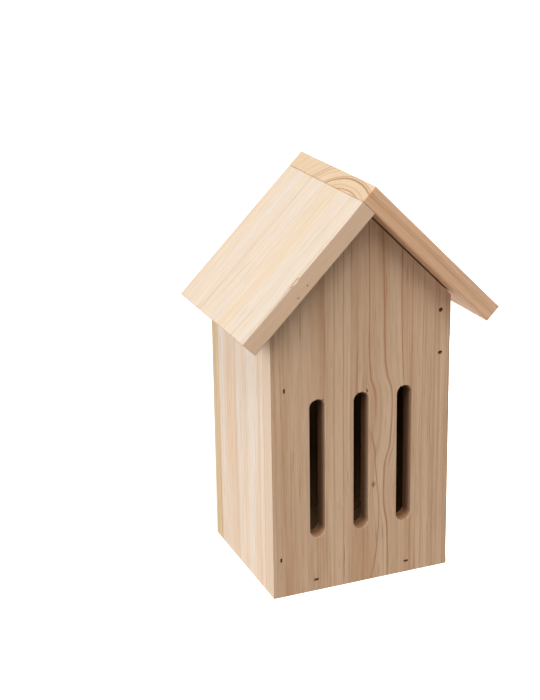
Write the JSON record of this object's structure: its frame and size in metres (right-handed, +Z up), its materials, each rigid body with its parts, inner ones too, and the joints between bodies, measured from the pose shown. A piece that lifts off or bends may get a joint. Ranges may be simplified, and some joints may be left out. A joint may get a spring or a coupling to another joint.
{
  "type": "insect hotel",
  "caption": "Tall wooden butterfly house with a steep gable roof, upright round-ended entrance slots in its front and a hinged hanging ring on its back.",
  "frame": {"origin": "centre of the body's footprint, on the plane that it stands on", "axes": "+Z up, +Y towards the back with the hanger, -Y towards the front with the entrance slots, +X to the right as seen from the front"},
  "size_m": [0.1456, 0.1072, 0.2251],
  "materials": {
    "softwood": "raw sawn and lightly sanded spruce or fir, no coating",
    "brad_steel": "galvanised wire, dull and darkened in its pit",
    "plated_steel": "bright zinc plating"
  },
  "bodies": {
    "house": {"front_panel": "softwood", "back_panel": "softwood", "left_side": "softwood", "right_side": "softwood", "floor_board": "softwood", "left_roof": "softwood", "right_roof": "softwood", "front_left_brads": "brad_steel", "front_right_brads": "brad_steel", "front_floor_brads": "brad_steel", "back_left_brads": "brad_steel", "back_right_brads": "brad_steel", "back_floor_brads": "brad_steel", "ridge_brads": "brad_steel", "gable_brads": "brad_steel", "eave_brads": "brad_steel", "hanger_strap": "plated_steel", "hanger_screw": "plated_steel"},
    "ring": {"hanger_ring": "plated_steel"}
  },
  "joints": [
    {"name": "ring_hinge", "type": "hinge", "parent": "house", "child": "ring", "pos_m": [0, 0.04613, 0.178], "axis": [1, 0, 0], "range_deg": [-3, 183]}
  ]
}
